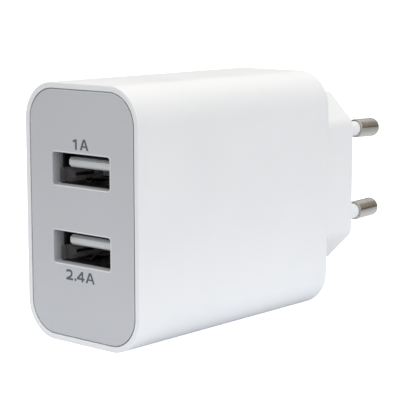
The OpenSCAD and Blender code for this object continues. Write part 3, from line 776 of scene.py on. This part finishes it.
def insulator_mesh(z):
    """Rear block and the tongue with its bevelled nose and four contact grooves."""
    block = Solid()
    rings = block.loft(at(rounded(11.7, 4.85, 0.25, 5), 11.5, z), at(rounded(12.5, 5.05, 0.35, 5), 11.75, z),
                       at(rounded(12.5, 5.05, 0.35, 5), 14.85, z), at(rounded(12.3, 4.85, 0.25, 5), 14.95, z))
    block.fill(rings[0])
    block.fill(rings[-1])
    tongue = Solid()
    shape = [(11.9, z + 0.05), (11.9, z + 1.89), (2.95, z + 1.89), (2.45, z + 1.42), (2.45, z + 0.50), (2.97, z + 0.05)]
    radii, steps = [0.05, 0.05, 0.10, 0.10, 0.26, 0.3], [1, 1, 6, 6, 6, 6]

    def section(x, d):
        return [(x, a, b) for a, b in round_all(inset(shape, d), [max(0.04, r - d * 0.6) for r in radii], steps)]

    edge = 0.36
    left = [section(-5.55 + edge * (1 - cs), edge * (1 - sn)) for sn, cs in quarter(6)]
    right = [section(5.55 - edge * (1 - cs), edge * (1 - sn)) for sn, cs in quarter(6)][::-1]
    rings = tongue.loft(*left, *right)
    tongue.fill(rings[0])
    tongue.fill(rings[-1])
    cuts = Solid()
    for x in (-3.5, -1, 1, 3.5):
        cuts.box((x - 0.65, 3.3, z - 0.7), (x + 0.65, 11.5, z + 0.8))
    slots = boxes(*[((x - 0.33, 5.5, z + 0.345), (x + 0.33, 17.5, z + 0.655)) for x in (-3.5, -1, 1, 3.5)])
    return combine(block.mesh(), ("UNION", tongue.mesh()), ("DIFFERENCE", cuts.mesh()), ("DIFFERENCE", slots))


def strip(s, path, t, w, x, bend, edge=0.05):
    """A bent strip, thickness t and width w, whose middle follows path (depth, height) at x."""
    line = [path[0]]
    for a, b, c in zip(path, path[1:], path[2:]):
        line += arc_corner(a, b, c, bend, 6)
    line.append(path[-1])
    line = [Vector(p) for p in line]
    line = [p for i, p in enumerate(line) if i == 0 or (p - line[i - 1]).length > 1e-4]
    first, last = (line[1] - line[0]).normalized(), (line[-1] - line[-2]).normalized()
    line = [line[0], line[0] + first * edge, *line[1:-1], line[-1] - last * edge, line[-1]]
    rings = []
    for i, p in enumerate(line):
        d = (line[min(i + 1, len(line) - 1)] - line[max(i - 1, 0)]).normalized()
        n = Vector((-d.y, d.x))
        cut = edge * 0.8 if i in (0, len(line) - 1) else 0
        ring = rounded(w - 2 * cut, t - 2 * cut, max(0.02, edge - cut * 0.5), 3)
        rings.append([(x + a, p.x + n.x * b, p.y + n.y * b) for a, b in ring])
    made = s.loft(*rings)
    s.fill(made[0])
    s.fill(made[-1])


def contacts_mesh(z):
    s = Solid()
    for x in (-3.5, -1, 1, 3.5):
        strip(s, [(11.35, z + 0.5), (9.8, z + 0.5), (5.6, z - 0.18), (5, z - 0.18), (3.9, z + 0.2)], 0.25, 1, x, 0.5)
    return s.mesh()


def fingers_mesh(z, side):
    s, m = Solid(), 2.725
    for x in (-3.1, 3.1):
        path = [(11.02, m), (9.6, m - 0.05), (6.5, m - 0.52), (5.7, m - 0.52), (4.65, m - 0.1)]
        strip(s, [(v, z + side * h) for v, h in path], 0.25, 2, x, 0.6)
    return s.mesh()


for where, z in PORTS.items():
    node, body = where + "_usb_", where + "_port_"
    piece(where + "_port_shell", shell_mesh(z), STEEL, "port_steel", "charger", node + "shell")
    piece(where + "_port_tongue", insulator_mesh(z), TONGUE, "port_plastic", "charger", node + "insulator")
    piece(where + "_port_leaves", contacts_mesh(z), GOLD, "gold_contact", body + "contacts", node + "contacts")
    piece(where + "_port_top_fingers", fingers_mesh(z, 1), SPRING, "port_steel", body + "top_springs", node + "top_springs")
    piece(where + "_port_bottom_fingers", fingers_mesh(z, -1), SPRING, "port_steel", body + "bottom_springs", node + "bottom_springs")

# ---------------------------------------------------------------- parts inside, which keep their CAD shape

DARK_CAN = can_sleeve("can_dark", (0.020, 0.024, 0.036), (0.30, 0.31, 0.33), 0.0061)
GREEN_CAN = can_sleeve("can_green", (0.016, 0.062, 0.050), (0.36, 0.42, 0.36), 0.0036)
FERRITE = fired("ferrite", (0.040, 0.038, 0.040), (0.062, 0.060, 0.062), (0.5, 0.72), 0.12, 0.012, 0.0)
ENAMEL = fired("green_enamel", (0.045, 0.15, 0.105), (0.075, 0.21, 0.15), (0.3, 0.45), 0.2, 0.008, 0.5)
DISC = fired("blue_dip", (0.012, 0.075, 0.27), (0.022, 0.115, 0.36), (0.28, 0.42), 0.3, 0.02, 0.6)
CERAMIC = fired("tan_ceramic", (0.36, 0.25, 0.14), (0.46, 0.33, 0.2), (0.4, 0.6), 0.08, 0.006, 0.1)
COPPER_X = winding("choke_winding", (0.58, 0.24, 0.09), (0.10, 0.03, 0.01), 0.42, "X")
COPPER_Z = winding("transformer_winding", (0.60, 0.26, 0.10), (0.12, 0.035, 0.012), 0.38, "Z")
TAPE, FILM = tape(), film()

KEPT = {
    "upper_pin_spring": BRONZE, "lower_pin_spring": BRONZE, "main_board": TAN_BOARD, "usb_board": GREEN_BOARD,
    "link_header": BLACK, "link_pins": GOLD, "upper_usb_terminals": GOLD, "lower_usb_terminals": GOLD,
    "transformer_core": FERRITE, "transformer_bobbin": BLACK, "transformer_winding": COPPER_Z,
    "transformer_tape": TAPE, "transformer_pins": TINNED, "mains_capacitors": DARK_CAN, "output_capacitors": GREEN_CAN,
    "filter_choke_core": FERRITE, "filter_choke_coil": COPPER_X, "fuse_resistor": ENAMEL, "bridge_rectifier": PACKAGE,
    "suppression_capacitor": DISC, "optocoupler": PACKAGE, "output_diode": PACKAGE, "controller_chip": PACKAGE,
    "port_chips": PACKAGE, "chip_resistors": PACKAGE, "chip_capacitors": CERAMIC, "insulation_sheet": FILM,
}
for name, material in KEPT.items():
    o = NODE[name]
    o.data.materials.clear()
    o.data.materials.append(material)

# ---------------------------------------------------------------- floor, light and camera

scene = bpy.context.scene
scene.view_settings.view_transform = "Standard"
scene.view_settings.look = "None"
scene.cycles.use_denoising = True

floor_mesh = Solid()
floor_ring = floor_mesh.ring([(12 * math.cos(2 * math.pi * i / 96), 12 * math.sin(2 * math.pi * i / 96), 0) for i in range(96)])
floor_mesh.bm.faces.new(floor_ring)
floor_mesh = floor_mesh.mesh("floor")
floor = bpy.data.objects.new("floor", floor_mesh)
scene.collection.objects.link(floor)
k = Look("floor_white", Roughness=0.9, IOR=1.2)
k.colour(k.ramp(k.noise(180, 2, 0.4), (0.3, (0.535, 0.548, 0.562)), (0.7, (0.545, 0.558, 0.572))))
# light that comes up through the table top, strongest round the object
spread = k.t.nodes.new("ShaderNodeVectorMath")
spread.operation = "LENGTH"
k.link(k.stretched((1, 0.55, 0)), spread.inputs[0])

# and how far a point lies from the strip that the object stands on
def beyond(shift, half):
    away = k.co
    for how, by in (("ADD", shift), ("ABSOLUTE", None), ("SUBTRACT", half), ("MAXIMUM", (0, 0, 0)), ("LENGTH", None)):
        n = k.t.nodes.new("ShaderNodeVectorMath")
        n.operation = how
        k.link(away, n.inputs[0])
        if by:
            n.inputs[1].default_value = by
        away = n.outputs["Value" if how == "LENGTH" else "Vector"]
    return away


away = beyond((0, 0.007, 0), (0.0069, 0.031, 1))


def pool(start, end, glow, distance=spread.outputs["Value"]):
    n = k.t.nodes.new("ShaderNodeMapRange")
    n.interpolation_type = "SMOOTHSTEP"
    for name, v in (("From Min", start), ("From Max", end), ("To Min", glow), ("To Max", 0)):
        n.inputs[name].default_value = v
    k.link(distance, n.inputs["Value"])
    return n.outputs["Result"]


seen = k.t.nodes.new("ShaderNodeLightPath").outputs["Is Camera Ray"]
glow = k.t.nodes.new("ShaderNodeMix")
k.link(seen, glow.inputs["Factor"])
k.link(pool(0.05, 0.2, 0.14), glow.inputs["A"])
glow.inputs["B"].default_value = 0.96
ring = k.t.nodes.new("ShaderNodeMath")
ring.operation = "MULTIPLY"
k.link(pool(0.022, 0.075, 0.37), ring.inputs[0])
k.link(pool(0.011, 0.004, 1.0, away), ring.inputs[1])
under = pool(0.0014, 0.0042, 0.17, beyond((0, 0.0177, 0), (0.0071, 0.0258, 1)))
k.link(k.add(k.add(ring.outputs[0], under), glow.outputs["Result"]), k.shader.inputs["Emission Strength"])
k.shader.inputs["Emission Color"].default_value = (0.96, 0.997, 1.075, 1)
# seen from below the floor is clear, so that the underside can be looked at
mixer, clear = k.t.nodes.new("ShaderNodeMixShader"), k.t.nodes.new("ShaderNodeBsdfTransparent")
k.link(k.t.nodes.new("ShaderNodeNewGeometry").outputs["Backfacing"], mixer.inputs[0])
k.link(k.shader.outputs[0], mixer.inputs[1])
k.link(clear.outputs[0], mixer.inputs[2])
k.link(mixer.outputs[0], k.t.nodes["Material Output"].inputs["Surface"])
floor.data.materials.append(k.m)

# Four soft walls of light, a soft top and one dim brown flag behind on the right. Each wall is given from the horizon up.
WALLS = {"front": (0.22, 0.34, 0.86), "right": (0.50, 1.07, 1.92), "behind": (0.34, 0.53, 0.81), "left": (0.26, 0.40, 0.99)}
TOP = 1.53
HEIGHTS = (0.0, 0.2, 0.5, 1.0)
TINTS = ((0.95, 0.99, 1.055), (0.965, 0.997, 1.04), (0.985, 1.0, 1.012), (1.04, 0.993, 0.925))

world = bpy.data.worlds.new("studio")
scene.world = world
world.use_nodes = True
t = world.node_tree
t.nodes.clear()


def maths(how, *values):
    n = t.nodes.new("ShaderNodeMath")
    n.operation = how
    for i, v in enumerate(values):
        if isinstance(v, bpy.types.NodeSocket):
            t.links.new(v, n.inputs[i])
        else:
            n.inputs[i].default_value = v
    return n.outputs[0]


def blend(fac, a, b, how="MIX"):
    n = t.nodes.new("ShaderNodeMix")
    n.data_type, n.blend_type = "RGBA", how
    for v, socket in ((fac, n.inputs["Factor"]), (a, n.inputs[6]), (b, n.inputs[7])):
        if isinstance(v, bpy.types.NodeSocket):
            t.links.new(v, socket)
        else:
            socket.default_value = v
    return n.outputs[2]


ray = t.nodes.new("ShaderNodeTexCoord").outputs["Generated"]
xyz = t.nodes.new("ShaderNodeSeparateXYZ")
t.links.new(ray, xyz.inputs[0])
x, y, z = (xyz.outputs[i] for i in range(3))
LEVEL = 2.5


def wall(values, cast=(1, 1, 1)):
    n = t.nodes.new("ShaderNodeValToRGB")
    e = n.color_ramp.elements
    while len(e) < 4:
        e.new(0.5)
    for i, (pos, value, tint) in enumerate(zip(HEIGHTS, (*values, TOP), TINTS)):
        e[i].position, e[i].color = pos, (*[value * c * d / LEVEL for c, d in zip(tint, cast)], 1)
    t.links.new(z, n.inputs["Fac"])
    return n.outputs["Color"]


walls = {name: wall(values, (0.975, 0.998, 1.035) if name == "right" else (1, 1, 1)) for name, values in WALLS.items()}
across = maths("MULTIPLY", x, x)
share = maths("DIVIDE", across, maths("ADD", across, maths("MULTIPLY_ADD", y, y, 1e-6)))
sides = blend(maths("GREATER_THAN", x, 0.0), walls["left"], walls["right"])
ends = blend(maths("GREATER_THAN", y, 0.0), walls["front"], walls["behind"])
flag = t.nodes.new("ShaderNodeVectorMath")
flag.operation = "DOT_PRODUCT"
flag.inputs[1].default_value = Vector((0.52, 0.74, 0.34)).normalized()
t.links.new(ray, flag.inputs[0])
dark = t.nodes.new("ShaderNodeMapRange")
dark.interpolation_type = "SMOOTHSTEP"
for name, v in (("From Min", 0.80), ("From Max", 0.95), ("To Min", 0.0), ("To Max", 0.85)):
    dark.inputs[name].default_value = v
t.links.new(flag.outputs["Value"], dark.inputs["Value"])
brown = t.nodes.new("ShaderNodeValToRGB")
BROWN = ((0.0, (0.02, 0.015, 0.01)), (0.06, (0.07, 0.054, 0.038)), (0.2, (0.31, 0.243, 0.17)), (0.5, (0.45, 0.372, 0.28)))
while len(brown.color_ramp.elements) < 4:
    brown.color_ramp.elements.new(0.5)
for e, (pos, tone) in zip(brown.color_ramp.elements, BROWN):
    e.position, e.color = pos, (*[c / LEVEL for c in tone], 1)
t.links.new(z, brown.inputs["Fac"])
sky = blend(dark.outputs["Result"], blend(share, ends, sides), brown.outputs["Color"])
# even light from under the table, which only the face that stands on it gets
sky = blend(maths("LESS_THAN", z, -0.02), sky, (0.36, 0.37, 0.38, 1))
dome = t.nodes.new("ShaderNodeBackground")
dome.inputs["Strength"].default_value = LEVEL
t.links.new(sky, dome.inputs["Color"])
plain = t.nodes.new("ShaderNodeBackground")
plain.inputs["Color"].default_value = (1, 1, 1, 1)
both = t.nodes.new("ShaderNodeMixShader")
t.links.new(t.nodes.new("ShaderNodeLightPath").outputs["Is Camera Ray"], both.inputs[0])
t.links.new(dome.outputs[0], both.inputs[1])
t.links.new(plain.outputs[0], both.inputs[2])
t.links.new(both.outputs[0], t.nodes.new("ShaderNodeOutputWorld").inputs["Surface"])

camera = bpy.data.cameras.new("camera")
camera.sensor_width, camera.lens = 36.0, 130.1036
camera.clip_start, camera.clip_end = 0.01, 100
viewer = bpy.data.objects.new("camera", camera)
scene.collection.objects.link(viewer)
right = Vector((0.75218015, 0.65895696, -0.00087135))
up = Vector((-0.10007097, 0.11553488, 0.98824971))
back = Vector((0.65131469, -0.74325462, 0.15284551))
viewer.matrix_world = Matrix((
    (right.x, up.x, back.x, 0.18008497),
    (right.y, up.y, back.y, -0.21859079),
    (right.z, up.z, back.z, 0.06475662),
    (0, 0, 0, 1)))
scene.camera = viewer

bpy.context.view_layer.update()
